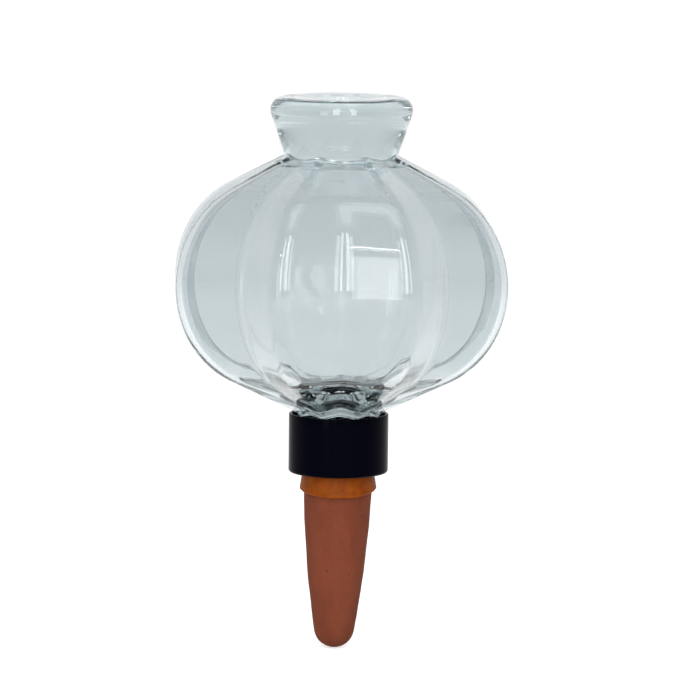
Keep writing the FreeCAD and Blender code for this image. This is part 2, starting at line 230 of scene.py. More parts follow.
@dataclass(frozen=True)
class MouldedBlackPlastic:
    """Injection moulded black polypropylene with a polished mould face.

    Its reflections are kept faint, so that it looks almost black, and fine upright scuffs soften
    them.
    """

    name: str = "black_polypropylene"
    colour: str = "00000A"
    ior: float = 1.49
    specular_level: float = 0.02
    least_roughness: float = 0.11
    most_roughness: float = 0.26
    scuff_size_mm: float = 0.8
    scuff_squeeze: Place = (1, 1, 0.25)
    scuff_height_mm: float = 0.01
    scuff_strength: float = 0.3

    def make(self) -> bpy.types.Material:
        """Makes the material."""
        material, tree, shader = new_material(self.name, {
            "Base Color": linear(self.colour),
            "IOR": self.ior,
            "Specular IOR Level": self.specular_level,
        })
        scuffs = noise_pattern(tree, self.scuff_size_mm, 3.0, self.scuff_squeeze)
        add_node(
            tree, "ShaderNodeMapRange",
            values={"To Min": self.least_roughness, "To Max": self.most_roughness},
            links={"Value": scuffs.outputs["Fac"]}, feeds={"Result": shader.inputs["Roughness"]})
        add_node(
            tree, "ShaderNodeBump",
            values={"Strength": self.scuff_strength, "Distance": self.scuff_height_mm * MM},
            links={"Height": scuffs.outputs["Fac"]}, feeds={"Normal": shader.inputs["Normal"]})
        return material


@dataclass(frozen=True)
class OrangeSilicone:
    """Moulded silicone rubber, slightly translucent, with a satin face and a little dust."""

    name: str = "orange_silicone_rubber"
    colour: str = "924602"
    shade: str = "793500"
    roughness: float = 0.5
    ior: float = 1.41
    specular_level: float = 0.15
    glow_share: float = 0.25
    glow_depth_mm: float = 0.6
    glow_spread: Place = (1.0, 0.4, 0.1)
    dust_size_mm: float = 3.0
    dust_height_mm: float = 0.04
    dust_strength: float = 0.5

    def make(self) -> bpy.types.Material:
        """Makes the material."""
        material, tree, shader = new_material(self.name, {
            "Roughness": self.roughness,
            "IOR": self.ior,
            "Specular IOR Level": self.specular_level,
            "Subsurface Weight": self.glow_share,
            "Subsurface Radius": self.glow_spread,
            "Subsurface Scale": self.glow_depth_mm * MM,
        })
        dust = noise_pattern(tree, self.dust_size_mm, 4.0)
        add_node(
            tree, "ShaderNodeValToRGB", stops=[(0.3, self.shade), (0.62, self.colour)],
            links={"Fac": dust.outputs["Fac"]}, feeds={"Color": shader.inputs["Base Color"]})
        add_node(
            tree, "ShaderNodeBump",
            values={"Strength": self.dust_strength, "Distance": self.dust_height_mm * MM},
            links={"Height": dust.outputs["Fac"]}, feeds={"Normal": shader.inputs["Normal"]})
        return material


@dataclass(frozen=True)
class FiredClay:
    """Low fired terracotta, wiped smooth by hand while wet.

    It is dull and dusty: fine grog makes it grainy, wiping leaves faint upright streaks, and the
    fire leaves pale and dark patches. A few specks are grit and small chips. The specks' core and
    edge are shares of their spacing.
    """

    name: str = "fired_terracotta"
    body: str = "7A3E28"
    pale: str = "80422C"
    dark: str = "703723"
    speck: str = "3A2018"
    roughness: float = 0.92
    specular_level: float = 0.25
    patch_size_mm: float = 9.0
    patch_squeeze: Place = (1, 1, 0.45)
    streak_size_mm: float = 1.6
    streak_squeeze: Place = (1, 1, 0.08)
    streak_share: float = 0.08
    grain_size_mm: float = 0.5
    grain_share: float = 0.2
    speck_spacing_mm: float = 5.5
    speck_core: float = 0.035
    speck_edge: float = 0.06
    relief_height_mm: float = 0.06
    relief_strength: float = 0.6

    def make(self) -> bpy.types.Material:
        """Makes the material."""
        material, tree, shader = new_material(self.name, {
            "Roughness": self.roughness,
            "Specular IOR Level": self.specular_level,
        })
        patches = noise_pattern(tree, self.patch_size_mm, 3.0, self.patch_squeeze)
        streaks = noise_pattern(tree, self.streak_size_mm, 2.0, self.streak_squeeze)
        grain = noise_pattern(tree, self.grain_size_mm, 2.0)
        base = add_node(
            tree, "ShaderNodeValToRGB", stops=[(0.32, self.dark), (0.5, self.body), (0.7, self.pale)],
            links={"Fac": patches.outputs["Fac"]})
        colour = base.outputs["Color"]
        for pattern, share in ((streaks, self.streak_share), (grain, self.grain_share)):
            mixed = add_node(
                tree, "ShaderNodeMix", {"data_type": "RGBA", "blend_type": "OVERLAY"},
                values={"Factor": share}, links={"A": colour, "B": pattern.outputs["Fac"]})
            colour = mixed.outputs["Result"]
        place = add_node(tree, "ShaderNodeTexCoord")
        grit = add_node(
            tree, "ShaderNodeTexVoronoi",
            values={"Scale": 1 / (self.speck_spacing_mm * MM), "Randomness": 1.0},
            links={"Vector": place.outputs["Object"]})
        specks = add_node(
            tree, "ShaderNodeValToRGB", stops=[(self.speck_core, "FFFFFF"), (self.speck_edge, "000000")],
            links={"Fac": grit.outputs["Distance"]})
        add_node(
            tree, "ShaderNodeMix", {"data_type": "RGBA"}, values={"B": linear(self.speck)},
            links={"Factor": specks.outputs["Color"], "A": colour},
            feeds={"Result": shader.inputs["Base Color"]})
        relief = add_node(
            tree, "ShaderNodeMath", {"operation": "ADD"},
            links={0: grain.outputs["Fac"], 1: streaks.outputs["Fac"]})
        add_node(
            tree, "ShaderNodeBump",
            values={"Strength": self.relief_strength, "Distance": self.relief_height_mm * MM},
            links={"Height": relief.outputs["Value"]}, feeds={"Normal": shader.inputs["Normal"]})
        return material


@dataclass(frozen=True)
class WasherRubber:
    """Soft pale sealing rubber, matte with a faint bloom."""

    name: str = "sealing_rubber"
    colour: str = "C8C8C0"
    shade: str = "B4B4AC"
    roughness: float = 0.7
    bloom_size_mm: float = 1.5

    def make(self) -> bpy.types.Material:
        """Makes the material."""
        material, tree, shader = new_material(self.name, {"Roughness": self.roughness})
        bloom = noise_pattern(tree, self.bloom_size_mm, 3.0)
        add_node(
            tree, "ShaderNodeValToRGB", stops=[(0.3, self.shade), (0.7, self.colour)],
            links={"Fac": bloom.outputs["Fac"]}, feeds={"Color": shader.inputs["Base Color"]})
        return material


# Helpers for meshes


def smooth_max(first: float, second: float, blend: float) -> float:
    """Larger of two values, with a rounded corner where they meet.

    Args:
        first: One value.
        second: The other value.
        blend: How far apart the values are where the rounding starts.

    Returns:
        The blended maximum.
    """
    near = max(blend - abs(first - second), 0.0) / blend
    return max(first, second) + near * near * blend / 4


def widen(place: Vector, factor: float) -> Vector:
    """Multiplies a place's distance from the axis and keeps its height."""
    return Vector((place.x * factor, place.y * factor, place.z))


def arc(centre: Point, radius: float, start: float, end: float, steps: int) -> Outline:
    """Points of an arc in the outline plane.

    Args:
        centre: Across and up place of its centre.
        radius: Its radius.
        start: First angle, counterclockwise from straight out.
        end: Last angle.
        steps: Number of segments.

    Returns:
        The points from start to end.
    """
    points = []
    for step in range(steps + 1):
        angle = math.radians(start + (end - start) * step / steps)
        points.append((centre[0] + radius * math.cos(angle), centre[1] + radius * math.sin(angle)))
    return points


def run(start: Point, end: Point, steps: int) -> Outline:
    """Points of a straight run in the outline plane, without its last one.

    Args:
        start: First point.
        end: The point after the last one.
        steps: Number of segments.

    Returns:
        The points from start on.
    """
    return [
        (start[0] + (end[0] - start[0]) * step / steps, start[1] + (end[1] - start[1]) * step / steps)
        for step in range(steps)
    ]


def spin_outline(
    name: str, outline: Outline, steps: int, closed: bool, reshape: Reshape
) -> bpy.types.Object:
    """Spins an outline about the Z axis and moves its points.

    Args:
        name: The object's name.
        outline: Radius and height of each point.
        steps: Number of steps round the axis.
        closed: True where the last point joins the first, as in a ring.
        reshape: Gives a point's new place from its place and its index in the outline.

    Returns:
        The new object, shaded smooth, with its normals outwards.
    """
    mesh = bmesh.new()
    order = mesh.verts.layers.int.new("outline_order")
    chain = []
    for index, (radius, height) in enumerate(outline):
        vert = mesh.verts.new((radius, 0.0, height))
        vert[order] = index
        chain.append(vert)
    edges = [mesh.edges.new(pair) for pair in zip(chain, chain[1:])]
    if closed:
        edges.append(mesh.edges.new((chain[-1], chain[0])))
    bmesh.ops.spin(
        mesh, geom=chain + edges, cent=(0, 0, 0), axis=(0, 0, 1), dvec=(0, 0, 0),
        angle=math.tau, steps=steps, use_merge=True)
    bmesh.ops.remove_doubles(mesh, verts=mesh.verts, dist=WELD_DISTANCE)
    bmesh.ops.recalc_face_normals(mesh, faces=mesh.faces)
    for vert in mesh.verts:
        vert.co = reshape(vert.co, vert[order])
    bmesh.ops.scale(mesh, vec=(MM, MM, MM), verts=mesh.verts)
    mesh.verts.layers.int.remove(order)
    return finish_mesh(name, mesh)


def finish_mesh(name: str, mesh: bmesh.types.BMesh) -> bpy.types.Object:
    """Turns a bmesh into a smooth shaded object at the origin, and frees the bmesh.

    Args:
        name: The object's name.
        mesh: The bmesh, in metres.

    Returns:
        The new object.
    """
    data = bpy.data.meshes.new(name)
    mesh.to_mesh(data)
    mesh.free()
    for polygon in data.polygons:
        polygon.use_smooth = True
    piece = bpy.data.objects.new(name, data)
    bpy.context.scene.collection.objects.link(piece)
    return piece


def dress(piece: bpy.types.Object, material: bpy.types.Material, body: Body, slot: Slot, node: str) -> None:
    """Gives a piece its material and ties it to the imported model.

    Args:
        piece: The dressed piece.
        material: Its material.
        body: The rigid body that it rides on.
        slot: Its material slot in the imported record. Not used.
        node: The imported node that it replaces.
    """
    piece.data.materials.append(material)
    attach(piece, body.value)
    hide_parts(node)
    LOG.info("%s: %d faces in place of %s", piece.name, len(piece.data.polygons), node)


@dataclass(frozen=True)
class ScrewThread:
    """The thread that the neck and the cap share: a sloped ridge on a helix.

    Over its run-out, in turns, the ridge rises from the wall and sinks back. Its overrun, in turns
    as well, is how far it goes on past its first and last angle.
    """

    pitch: float = 4.2
    depth: float = 1.2
    base_width: float = 2.2
    crest_width: float = 1.0
    runout: float = 0.35
    overrun: float = 0.05

    def rise(self, turn: float, height: float, start: float, turns: float) -> float:
        """Height of the ridge over its wall.

        Args:
            turn: Angle about +Z in radians.
            height: Height of the point.
            start: Height of the ridge's middle at its start, at angle zero.
            turns: Length of the ridge in turns.

        Returns:
            How far the ridge stands off the wall there.
        """
        tallest = 0.0
        share = (turn / math.tau) % 1.0
        for lap in range(-1, int(turns) + 2):
            travelled = share + lap
            passed = travelled + self.overrun
            left = turns + self.overrun - travelled
            if passed < 0 or left < 0:
                continue
            fade = min(1.0, passed / self.runout, left / self.runout)
            away = abs(height - start - travelled * self.pitch)
            slope = (self.base_width / 2 - away) / (self.base_width / 2 - self.crest_width / 2)
            tallest = max(tallest, self.depth * fade * min(1.0, max(0.0, slope)))
        return tallest


@dataclass(frozen=True)
class Unevenness:
    """Soft random bumps, with a height and a rate: how many there are to a unit of length."""

    height: float
    rate: float

    def at(self, place: Vector) -> float:
        """How far the surface is off at a place."""
        return self.height * noise.noise(place * self.rate)


@dataclass(frozen=True)
class Meridian:
    """A bulb's side seen edge on: round about the equator, then straight cones to both ends.

    The angles say how far the round part goes above and below the equator.
    """

    equator: float
    widest: float
    shoulder_round: float
    shoulder_angle: float
    foot_round: float
    foot_angle: float
    ring_gap: float
    round_rings: int = 52
    least_radius: float = 0.1

    def radius(self, height: float) -> float:
        """Radius at a height."""
        level = height - self.equator
        rounding = self.foot_round if level < 0 else self.shoulder_round
        slope = math.radians(self.foot_angle if level < 0 else self.shoulder_angle)
        centre = self.widest - rounding
        turn = rounding * math.sin(slope)
        if abs(level) <= turn:
            return centre + math.sqrt(rounding ** 2 - level ** 2)
        cone = centre + rounding * math.cos(slope) - (abs(level) - turn) * math.tan(slope)
        return max(cone, self.least_radius)

    def levels(self, start: float, end: float) -> list[float]:
        """Heights of the rings between two heights, closer where the round side lies flat."""
        shoulder = math.radians(self.shoulder_angle)
        foot = math.radians(self.foot_angle)
        heights = []
        height = start
        while height < self.equator - self.foot_round * math.sin(foot):
            heights.append(height)
            height += self.ring_gap
        for ring in range(self.round_rings + 1):
            angle = (foot + shoulder) * ring / self.round_rings - foot
            rounding = self.shoulder_round if angle > 0 else self.foot_round
            heights.append(self.equator + rounding * math.sin(angle))
        height = self.equator + self.shoulder_round * math.sin(shoulder) + self.ring_gap
        while height < end:
            heights.append(height)
            height += self.ring_gap
        return heights


# The pieces


@dataclass
class GlassBulb:
    """The glass reservoir: neck with its thread, eight lobed bulb, and solid crown with a dish.

    A lobe is two nearly flat facets, with a rounded ridge between them and a sharper valley on
    each side. The valleys' radius and the roundings of ridge and valleys are shares of the ridge
    radius. The crown's root is how far over its waist the lobes still shape its side.
    """

    thread: ScrewThread
    thread_start: float = 9.0
    thread_turns: float = 1.5
    lobes: int = 8
    steps_per_lobe: int = 32
    lobe_turn: float = 2.0
    valley_share: float = 0.813
    ridge_round: float = 0.083
    valley_round: float = 0.022
    cavity_valley_round: float = 0.045
    equator: float = 57.74
    ridge_radius: float = 54.3
    side_round: float = 32.0
    shoulder_angle: float = 64.0
    foot_angle: float = 65.0
    ring_gap: float = 0.35
    wall: float = 1.8
    cavity_foot_round: float = 29.2
    cavity_foot_angle: float = 74.0
    cavity_ring_gap: float = 0.25
    ceiling: float = 94.3
    ceiling_drop: float = 2.2
    ceiling_bow: float = 2.5
    ceiling_steps: int = 12
    neck_radius: float = 12.4
    neck_bore: float = 9.6
    root_blend: float = 1.6
    bore_blend: float = 2.0
    rim_height: float = 7.4
    rim_round: float = 0.8
    rim_gap: float = 0.25
    bore_rim_round: float = 0.5
    crown_neck: float = 16.8
    crown_waist: float = 94.9
    crown_blend: float = 0.6
    crown_root: float = 4.0
    crown_top: float = 113.0
    crown_corner: float = 22.9
    flare_steps: int = 8
    lip_round: float = 4.0
    dish_edge: float = 15.9
    dish_drop: float = 0.5
    dish_bow: float = 1.5
    dish_margin: float = 0.5
    dish_steps: int = 14
    dimple_radius: float = 7.3
    dimple_drop: float = 1.4
    dimple_edge_round: float = 0.3
    dimple_root_round: float = 0.4
    dimple_sag: float = 0.25
    dimple_middle: float = 0.3

    @cached_property
    def outside(self) -> Meridian:
        """The bulb's outer side, along a ridge."""
        return Meridian(
            self.equator, self.ridge_radius, self.side_round, self.shoulder_angle,
            self.side_round, self.foot_angle, self.ring_gap)

    @cached_property
    def cavity(self) -> Meridian:
        """The cavity's side along a ridge, with a flatter foot than the outside."""
        return Meridian(
            self.equator, self.ridge_radius - self.wall, self.side_round - self.wall,
            self.shoulder_angle, self.cavity_foot_round, self.cavity_foot_angle, self.cavity_ring_gap)

    def lobe_share(self, turn: float, blend: float) -> float:
        """Radius of the lobed ring at an angle, as a share of where two facets would meet.

        Args:
            turn: Angle about +Z in radians.
            blend: Rounding of the valleys, as a share of the ridge radius.

        Returns:
            The radius share, largest at a ridge.
        """
        half = math.pi / self.lobes
        # Seen from above, a facet runs from the ridge's corner at (1, 0) along to the valley.
        corner = Vector((1.0, 0.0))
        valley = Vector((self.valley_share * math.cos(half), self.valley_share * math.sin(half)))
        along = (valley - corner).normalized()
        normal = Vector((along.y, -along.x))
        # A circle about (centre, 0) rounds the corner and meets the facet at touch.
        centre = 1.0 - self.ridge_round / along.y
        touch = corner + along * (self.ridge_round * -along.x / along.y)
        off_ridge = abs(((turn - math.radians(self.lobe_turn)) % (2 * half)) - half)

        def ring(angle: float) -> float:
            if angle < math.atan2(touch.y, touch.x):
                aside = centre * math.sin(angle)
                return centre * math.cos(angle) + math.sqrt(self.ridge_round ** 2 - aside ** 2)
            return normal.x / (normal.x * math.cos(angle) + normal.y * math.sin(angle))

        return smooth_max(ring(off_ridge), ring(2 * half - off_ridge), blend)

    def crown_side(self, height: float) -> float:
        """Radius of the crown's flared side at a height."""
        flare = (self.crown_corner - self.crown_neck) / (self.crown_top - self.crown_waist)
        return self.crown_neck + smooth_max(0.0, (height - self.crown_waist) * flare, self.crown_blend)

    def outer_radius(self, turn: float, height: float) -> float:
        """Radius of the outside, with the bulb blended into the neck and the crown."""
        bulb = self.outside.radius(height) * self.lobe_share(turn, self.valley_round)
        column = self.neck_radius if height < self.equator else self.crown_side(height)
        return smooth_max(bulb, column, self.root_blend)

    def inner_radius(self, turn: float, height: float) -> float:
        """Radius of the cavity, which runs down into the neck's bore."""
        cavity = self.cavity.radius(height) * self.lobe_share(turn, self.cavity_valley_round)
        if height > self.equator:
            return cavity
        return smooth_max(cavity, self.neck_bore, self.bore_blend)

    def crown_outline(self, start: float) -> Outline:
        """Outline of the crown from a height on its flared side to the dimple's middle."""
        flared = self.crown_corner - self.crown_neck
        lean = math.degrees(math.atan2(flared, self.crown_top - self.crown_waist))
        tangent = self.lip_round / math.tan(math.radians(90 - lean) / 2)
        lip_centre = (self.crown_corner - tangent, self.crown_top - self.lip_round)
        lip = arc(lip_centre, self.lip_round, -lean, 90, 14)
        outline = []
        for step in range(1, self.flare_steps):
            height = start + (lip[0][1] - start) * step / self.flare_steps
            outline.append((self.crown_side(height), height))
        outline += lip
        dish_width = self.dish_edge - self.dimple_radius - self.dish_margin
        for step in range(self.dish_steps + 1):
            share = step / self.dish_steps
            height = self.crown_top - self.dish_drop * share ** self.dish_bow
            outline.append((self.dish_edge - dish_width * share, height))
        edge = self.dimple_edge_round
        root = self.dimple_root_round
        dish_low = self.crown_top - self.dish_drop
        dimple_low = dish_low - self.dimple_drop
        outline += arc((self.dimple_radius + edge, dish_low - edge), edge, 100, 180, 4)
        outline += arc((self.dimple_radius - root, dimple_low + root), root, 0, -80, 5)
        for share in (0.7, 0.5, 0.25):
            outline.append((self.dimple_radius * share, dimple_low - self.dimple_sag * (1 - share)))
        outline.append((0.0, dimple_low - self.dimple_middle))
        return outline

    def outer_outline(self) -> tuple[Outline, range]:
        """Outline of the outside from the rim to the dimple's middle, and its shaped range."""
        rim_top = self.rim_height + self.rim_round
        rim = arc((self.neck_radius - self.rim_round, rim_top), self.rim_round, 270, 360, 5)
        levels = self.outside.levels(rim_top + self.rim_gap, self.crown_waist + self.crown_root)
        side = [(self.outer_radius(0, height), height) for height in levels]
        outline = rim + side + self.crown_outline(levels[-1])
        return outline, range(len(rim), len(rim) + len(side))

    def inner_outline(self) -> tuple[Outline, range]:
        """Outline of the cavity from the ceiling's middle to the rim, and its shaped range."""
        levels = self.cavity.levels(self.rim_height + self.rim_round, self.ceiling - self.ceiling_drop)
        side = [(self.inner_radius(0, height), height) for height in reversed(levels)]
        top_radius, top_height = side[0]
        dome = [(0.0, self.ceiling)]
        for step in range(1, self.ceiling_steps):
            share = step / self.ceiling_steps
            drop = (self.ceiling - top_height) * share ** self.ceiling_bow
            dome.append((top_radius * share, self.ceiling - drop))
        rounding = self.bore_rim_round
        rim = arc((self.neck_bore + rounding, self.rim_height + rounding), rounding, 180, 270, 4)
        return dome + side + rim, range(len(dome), len(dome) + len(side))

    def make(self, material: bpy.types.Material) -> bpy.types.Object:
        """Makes the closed glass: outside and cavity are one surface that turns in at the rim."""
        outer, outer_side = self.outer_outline()
        inner, inner_side = self.inner_outline()
        dome = range(0, inner_side.start)
        dome_radius = inner[inner_side.start][0]
        shift = len(inner)

        def reshape(place: Vector, index: int) -> Vector:
            turn = math.atan2(place.y, place.x)
            radius = math.hypot(place.x, place.y)
            if index in inner_side:
                wanted = self.inner_radius(turn, place.z)
            elif index in dome:
                blend = self.cavity_valley_round
                share = self.lobe_share(turn, blend) / self.lobe_share(0, blend)
                fade = (radius / dome_radius) ** 2
                wanted = radius * (1 + (share - 1) * min(fade, 1.0))
            elif index - shift in outer_side:
                ridge = self.thread.rise(turn, place.z, self.thread_start, self.thread_turns)
                wanted = self.outer_radius(turn, place.z) + ridge
            else:
                return place
            return widen(place, wanted / radius) if radius > TINY else place

        steps = self.lobes * self.steps_per_lobe
        piece = spin_outline("lobed_glass_reservoir", inner + outer, steps, False, reshape)
        dress(piece, material, Body.BULB, Slot.GLASS, "glass_bulb")
        return piece


@dataclass
class ScrewCap:
    """The black cap: smooth outside, rounded lower corner, holed floor and internal thread.

    A margin is how far beside an edge the next ring lies. It keeps the smooth shading close to the
    edge.
    """

    thread: ScrewThread
    thread_start: float = 10.9
    thread_turns: float = 1.25
    outer_radius: float = 15.0
    tall: float = 17.8
    bore: float = 14.05
    floor: float = 1.6
    hole: float = 10.8
    hole_chamfer: float = 0.15
    bore_chamfer: float = 0.25
    corner_round: float = 0.9
    corner_margin: float = 0.4
    rim_round: float = 0.35
    rim_margin: float = 0.3
    bore_margin: float = 0.25
    bore_rings: int = 46
    steps: int = 192

    def make(self, material: bpy.types.Material) -> bpy.types.Object:
        """Makes the cap and cuts its thread by moving the bore's points inwards."""
        corner = self.corner_round
        rim = self.rim_round
        rim_height = self.tall - rim
        outline = run((self.hole, self.floor), (self.hole, self.hole_chamfer), 2)
        outline += [(self.hole + self.hole_chamfer, 0.0), (self.hole + self.corner_margin, 0.0)]
        outline += arc((self.outer_radius - corner, corner), corner, 270, 360, 8)
        side_start = (self.outer_radius, corner + self.corner_margin)
        outline += run(side_start, (self.outer_radius, rim_height - self.rim_margin), 8)
        outline += arc((self.outer_radius - rim, rim_height), rim, 0, 90, 5)
        outline += arc((self.bore + rim, rim_height), rim, 90, 180, 5)
        first = len(outline)
        bore_start = (self.bore, rim_height - self.bore_margin)
        outline += run(bore_start, (self.bore, self.floor + self.rim_margin), self.bore_rings)
        bore = range(first, len(outline))
        outline += [(self.bore, self.floor + self.bore_chamfer), (self.bore - self.bore_chamfer, self.floor)]

        def reshape(place: Vector, index: int) -> Vector:
            if index not in bore:
                return place
            turn = math.atan2(place.y, place.x)
            ridge = self.thread.rise(turn, place.z, self.thread_start, self.thread_turns)
            return widen(place, 1 - ridge / self.bore)

        piece = spin_outline("threaded_cap", outline, self.steps, True, reshape)
        dress(piece, material, Body.CAP, Slot.CAP, "screw_cap")
        return piece


@dataclass
class SiliconeSleeve:
    """The silicone sleeve: flange in the cap, tube in its hole and a loose uneven skirt below it.

    The edge's unevenness is in millimetres, and the skirt's is a share of its radius. Both vary
    round a unit circle.
    """

    inner_radius: float = 10.0
    outer_radius: float = 10.7
    flange_radius: float = 12.4
    flange_base: float = 1.6
    flange_top: float = 2.6
    flange_chamfer: float = 0.2
    skirt_drop: float = 5.0
    skirt_flare: float = 0.75
    skirt_bow: float = 0.8
    skirt_wall: float = 0.9
    skirt_steps: int = 8
    tilt: float = 8.0
    edge_wave: Unevenness = Unevenness(0.35, 1.4)
    edge_ripple: Unevenness = Unevenness(0.12, 5.0)
    skirt_bulge: Unevenness = Unevenness(0.018, 1.7)
    steps: int = 160

    def edge_drop(self, turn: float) -> float:
        """How far the skirt's edge hangs under the cap at an angle."""
        front = -math.sin(turn)
        around = Vector((math.cos(turn), math.sin(turn), 0.0))
        wobble = self.edge_wave.at(around) + self.edge_ripple.at(around)
        return self.skirt_drop + math.tan(math.radians(self.tilt)) * self.outer_radius * front + wobble

    def skirt_side(self, root: float, flare: float) -> Outline:
        """One side of the skirt from under its root down to its edge."""
        points = []
        for step in range(1, self.skirt_steps):
            share = step / self.skirt_steps
            points.append((root + flare * share ** self.skirt_bow, -self.skirt_drop * share))
        return points

    def make(self, material: bpy.types.Material) -> bpy.types.Object:
        """Makes the sleeve: the skirt's points are stretched to the uneven edge."""
        chamfer = self.flange_chamfer
        edge_round = self.skirt_wall / 2
        edge_middle = (self.inner_radius + self.skirt_flare + edge_round, edge_round - self.skirt_drop)
        outer_flare = self.inner_radius + self.skirt_flare + self.skirt_wall - self.outer_radius
        outline = [(self.inner_radius, self.flange_top), (self.inner_radius, 0.0)]
        outline += self.skirt_side(self.inner_radius, self.skirt_flare)
        outline += arc(edge_middle, edge_round, 180, 360, 6)
        outline += reversed(self.skirt_side(self.outer_radius, outer_flare))
        outline += [(self.outer_radius, 0.0), (self.outer_radius, self.flange_base)]
        outline += [(self.flange_radius - chamfer, self.flange_base)]
        outline += [(self.flange_radius, self.flange_base + chamfer)]
        outline += [(self.flange_radius, self.flange_top - chamfer)]
        outline += [(self.flange_radius - chamfer, self.flange_top)]

        def reshape(place: Vector, index: int) -> Vector:
            if place.z >= 0:
                return place
            turn = math.atan2(place.y, place.x)
            share = -place.z / self.skirt_drop
            bulge = self.skirt_bulge.at(Vector((math.cos(turn), math.sin(turn), 2.0)))
            place = widen(place, 1 + share * bulge)
            place.z *= self.edge_drop(turn) / self.skirt_drop
            return place

        piece = spin_outline("silicone_collar_sleeve", outline, self.steps, True, reshape)
        dress(piece, material, Body.SPIKE_UNIT, Slot.SILICONE, "silicone_sleeve")
        return piece


@dataclass
class ClaySpike:
    """The clay spike: collar and neck in the cap, and a leaning, tapering shank with a round tip.

    The lean and the dents grow from nothing at the shank's top to all of it over the easing
    length. The dents also fade out within the calm radius, so that the tip stays round.
    """

    neck_radius: float = 10.0
    neck_fillet: float = 0.3
    collar_radius: float = 12.4
    collar_base: float = 2.6
    collar_top: float = 5.6
    collar_chamfer: float = 0.4
    shank_top: float = -3.2
    shank_step: float = 0.4
    shank_radius: float = 10.3
    reach: float = -53.5
    tip_round: float = 6.05
    tip_slope: float = 9.0
    bow_radius: float = 330.0
    side_steps: int = 36
    wall: float = 2.7
    lean: float = 1.0
    easing: float = 4.0
    calm_radius: float = 3.0
    dents: Unevenness = Unevenness(0.16, 0.11)
    fine_dents: Unevenness = Unevenness(0.05, 0.45)
    steps: int = 144

    def shank_outline(self) -> Outline:
        """Outline of the shank from its tip to its top: a round tip and a slightly bowed side."""
        tip = arc((0.0, self.reach + self.tip_round), self.tip_round, -90, -self.tip_slope, 14)
        start = Vector(tip[-1])
        end = Vector((self.shank_radius, self.shank_top))
        chord = end - start
        sagitta = chord.length ** 2 / (8 * self.bow_radius)
        out = Vector((chord.y, -chord.x)).normalized()
        side = []
        for step in range(1, self.side_steps + 1):
            share = step / self.side_steps
            point = start + chord * share + out * sagitta * 4 * share * (1 - share)
            side.append((point.x, point.y))
        return tip + side

    def make(self, material: bpy.types.Material) -> bpy.types.Object:
        """Makes the spike, leans its shank and gives it the unevenness of a hand formed piece."""
        bore = self.shank_radius - self.wall
        bore_tip = self.tip_round - self.wall
        fillet = self.neck_fillet
        chamfer = self.collar_chamfer
        outline = self.shank_outline()
        outline += [(self.neck_radius, self.shank_top + self.shank_step), (self.neck_radius, 0.0)]
        outline += [(self.neck_radius, self.collar_base - fillet)]
        outline += [(self.neck_radius + fillet, self.collar_base)]
        outline += [(self.collar_radius - chamfer, self.collar_base)]
        outline += [(self.collar_radius, self.collar_base + chamfer)]
        outline += [(self.collar_radius, self.collar_top - chamfer)]
        outline += [(self.collar_radius - chamfer, self.collar_top)]
        outline += [(bore + chamfer, self.collar_top), (bore, self.collar_top - chamfer)]
        outline += [(bore, self.shank_top)]
        outline += arc((0.0, self.reach + self.tip_round), bore_tip, -self.tip_slope, -90, 8)
        pivot = Vector((0, 0, self.shank_top))

        def reshape(place: Vector, index: int) -> Vector:
            depth = min(1.0, max(0.0, (self.shank_top - place.z) / self.easing))
            radius = math.hypot(place.x, place.y)
            if depth > 0 and radius > TINY:
                bumps = self.dents.at(place) + self.fine_dents.at(place)
                share = min(1.0, radius / self.calm_radius)
                place = widen(place, 1 + depth * share * bumps / radius)
            angle = math.radians(self.lean) * depth
            arm = place - pivot
            swung = Vector((
                arm.x * math.cos(angle) + arm.z * math.sin(angle), arm.y,
                arm.z * math.cos(angle) - arm.x * math.sin(angle)))
            return pivot + swung

        piece = spin_outline("clay_spike", outline, self.steps, False, reshape)
        dress(piece, material, Body.SPIKE_UNIT, Slot.CLAY, "terracotta_spike")
        return piece


# The studio


@dataclass(frozen=True)
class SoftLamp:
    """A rectangular lamp. Its azimuth is zero on the camera's side and grows to the right.

    The radiance sets how bright its face looks, whatever its size.
    """

    name: str
    azimuth: float
    elevation: float
    wide_m: float
    tall_m: float
    radiance: float
    distance_m: float = 0.9

    def make(self, centre: Vector) -> None:
        """Makes the lamp, which faces the centre from its distance."""
        light = bpy.data.lights.new(self.name, "AREA")
        light.shape = "RECTANGLE"
        light.size = self.wide_m
        light.size_y = self.tall_m
        light.energy = self.radiance * math.pi * self.wide_m * self.tall_m
        lamp = bpy.data.objects.new(self.name, light)
        bpy.context.scene.collection.objects.link(lamp)
        turn = math.radians(self.azimuth)
        rise = math.radians(self.elevation)
        away = Vector((
            math.sin(turn) * math.cos(rise), -math.cos(turn) * math.cos(rise), math.sin(rise)))
        lamp.location = centre + away * self.distance_m
        lamp.rotation_euler = (-away).to_track_quat("-Z", "Y").to_euler()


